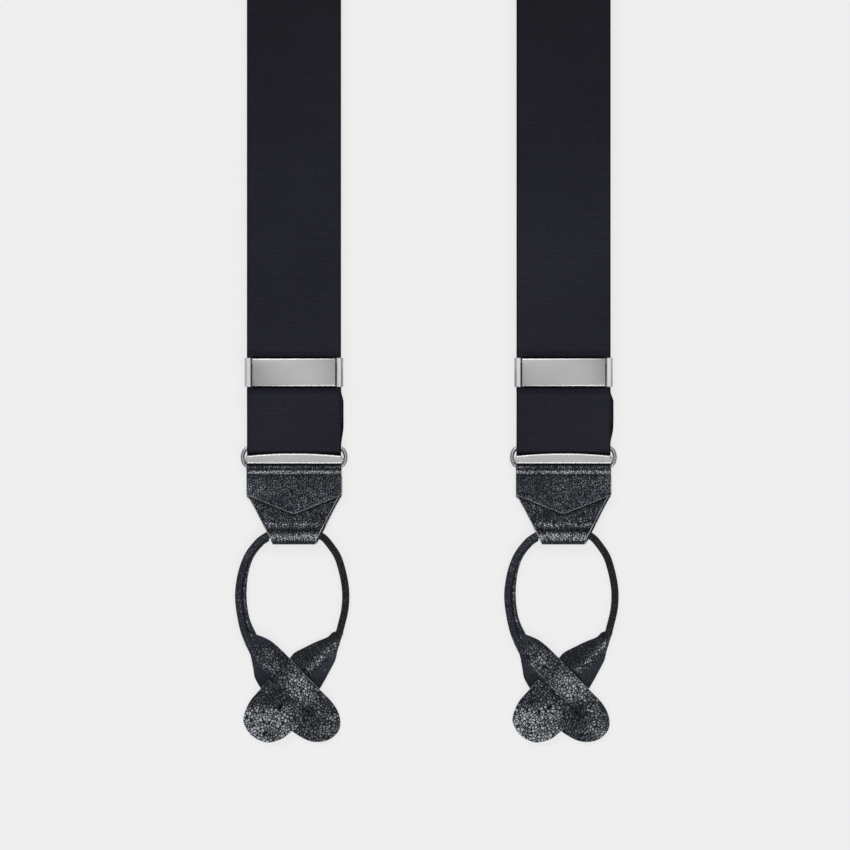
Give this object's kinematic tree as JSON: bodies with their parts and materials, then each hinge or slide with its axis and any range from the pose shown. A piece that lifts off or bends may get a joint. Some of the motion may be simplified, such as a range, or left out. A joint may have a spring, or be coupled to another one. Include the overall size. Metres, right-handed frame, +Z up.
{
  "type": "button-on dress suspenders",
  "caption": "Dress suspenders laid flat: webbing straps with metal adjusters, rings, rolled leather button loops, leather yoke and elastic back strap.",
  "frame": {"origin": "centre of the underside of the bounding box, on the table", "axes": "+Y from the front button tabs up the straps to the back button tabs, +Z up off the table, X across the two straps"},
  "size_m": [0.1476, 1.0442, 0.0083],
  "materials": {
    "webbing": "near-black navy woven webbing with fine cross ribs",
    "elastic": "near-black navy woven elastic webbing",
    "leather": "dark navy pebbled leather, grey burnished cut edges, dark blue stitching",
    "loop_leather": "dark navy leather rolled into a cord, with flat button tabs",
    "nickel": "satin nickel plate"
  },
  "bodies": {
    "harness": {"left_strap": "webbing", "right_strap": "webbing", "back_strap": "elastic", "yoke_front_leaf": "leather", "yoke_back_leaf": "leather"},
    "left_return": {"left_strap_return": "webbing"},
    "left_adjuster": {"left_adjuster_frame": "nickel", "left_adjuster_pin": "nickel"},
    "left_lever": {"left_adjuster_lever": "nickel"},
    "left_ring_body": {"left_ring": "nickel", "left_ring_face": "nickel"},
    "left_leather": {"left_leather_cover": "leather", "left_leather_tab": "leather"},
    "left_loop": {"left_button_loop": "loop_leather"},
    "right_return": {"right_strap_return": "webbing"},
    "right_adjuster": {"right_adjuster_frame": "nickel", "right_adjuster_pin": "nickel"},
    "right_lever": {"right_adjuster_lever": "nickel"},
    "right_ring_body": {"right_ring": "nickel", "right_ring_face": "nickel"},
    "right_leather": {"right_leather_cover": "leather", "right_leather_tab": "leather"},
    "right_loop": {"right_button_loop": "loop_leather"},
    "back_return": {"back_strap_return": "elastic"},
    "back_ring_body": {"back_ring": "nickel", "back_ring_face": "nickel"},
    "back_leather": {"back_leather_cover": "leather", "back_leather_tab": "leather"},
    "back_loop": {"back_button_loop": "loop_leather"}
  },
  "joints": [
    {"name": "left_strap_shorten", "type": "slide", "parent": "harness", "child": "left_return", "axis": [0, 1, 0], "range_m": [0, 0.075], "deforming": ["left_strap", "left_strap_return"]},
    {"name": "left_adjuster_slide", "type": "slide", "parent": "left_return", "child": "left_adjuster", "axis": [0, 1, 0], "range_m": [0, 0.075], "deforming": ["left_strap_return"]},
    {"name": "left_lever_hinge", "type": "hinge", "parent": "left_adjuster", "child": "left_lever", "pos_m": [-0.0515, -0.37631, 0.0069], "axis": [-1, 0, 0], "range_deg": [0, 95]},
    {"name": "left_ring_hinge", "type": "hinge", "parent": "left_return", "child": "left_ring_body", "pos_m": [-0.0515, -0.40931, 0.0023], "axis": [1, 0, 0], "range_deg": [0, 90]},
    {"name": "left_leather_hinge", "type": "hinge", "parent": "left_ring_body", "child": "left_leather", "pos_m": [-0.0515, -0.41611, 0.0023], "axis": [1, 0, 0], "range_deg": [-45, 90]},
    {"name": "left_loop_shift", "type": "hinge", "parent": "left_leather", "child": "left_loop", "pos_m": [-0.0515, -0.46391, 0.0028], "axis": [0, 0, 1], "range_deg": [-8, 8]},
    {"name": "right_strap_shorten", "type": "slide", "parent": "harness", "child": "right_return", "axis": [0, 1, 0], "range_m": [0, 0.075], "deforming": ["right_strap", "right_strap_return"]},
    {"name": "right_adjuster_slide", "type": "slide", "parent": "right_return", "child": "right_adjuster", "axis": [0, 1, 0], "range_m": [0, 0.075], "deforming": ["right_strap_return"]},
    {"name": "right_lever_hinge", "type": "hinge", "parent": "right_adjuster", "child": "right_lever", "pos_m": [0.0515, -0.37631, 0.0069], "axis": [-1, 0, 0], "range_deg": [0, 95]},
    {"name": "right_ring_hinge", "type": "hinge", "parent": "right_return", "child": "right_ring_body", "pos_m": [0.0515, -0.40931, 0.0023], "axis": [1, 0, 0], "range_deg": [0, 90]},
    {"name": "right_leather_hinge", "type": "hinge", "parent": "right_ring_body", "child": "right_leather", "pos_m": [0.0515, -0.41611, 0.0023], "axis": [1, 0, 0], "range_deg": [-45, 90]},
    {"name": "right_loop_shift", "type": "hinge", "parent": "right_leather", "child": "right_loop", "pos_m": [0.0515, -0.46391, 0.0028], "axis": [0, 0, 1], "range_deg": [-8, 8]},
    {"name": "back_stretch", "type": "slide", "parent": "harness", "child": "back_return", "axis": [0, 1, 0], "range_m": [0, 0.045], "stiffness_N_per_m": 450, "deforming": ["back_strap"]},
    {"name": "back_ring_hinge", "type": "hinge", "parent": "back_return", "child": "back_ring_body", "pos_m": [0, 0.40931, 0.0023], "axis": [-1, 0, 0], "range_deg": [0, 90]},
    {"name": "back_leather_hinge", "type": "hinge", "parent": "back_ring_body", "child": "back_leather", "pos_m": [0, 0.41611, 0.0023], "axis": [-1, 0, 0], "range_deg": [-45, 90]},
    {"name": "back_loop_shift", "type": "hinge", "parent": "back_leather", "child": "back_loop", "pos_m": [0, 0.46391, 0.0028], "axis": [0, 0, 1], "range_deg": [-8, 8]}
  ],
  "couplings": [
    {"joint": "left_adjuster_slide", "follows": "left_strap_shorten", "ratio": 1},
    {"joint": "right_adjuster_slide", "follows": "right_strap_shorten", "ratio": 1}
  ]
}
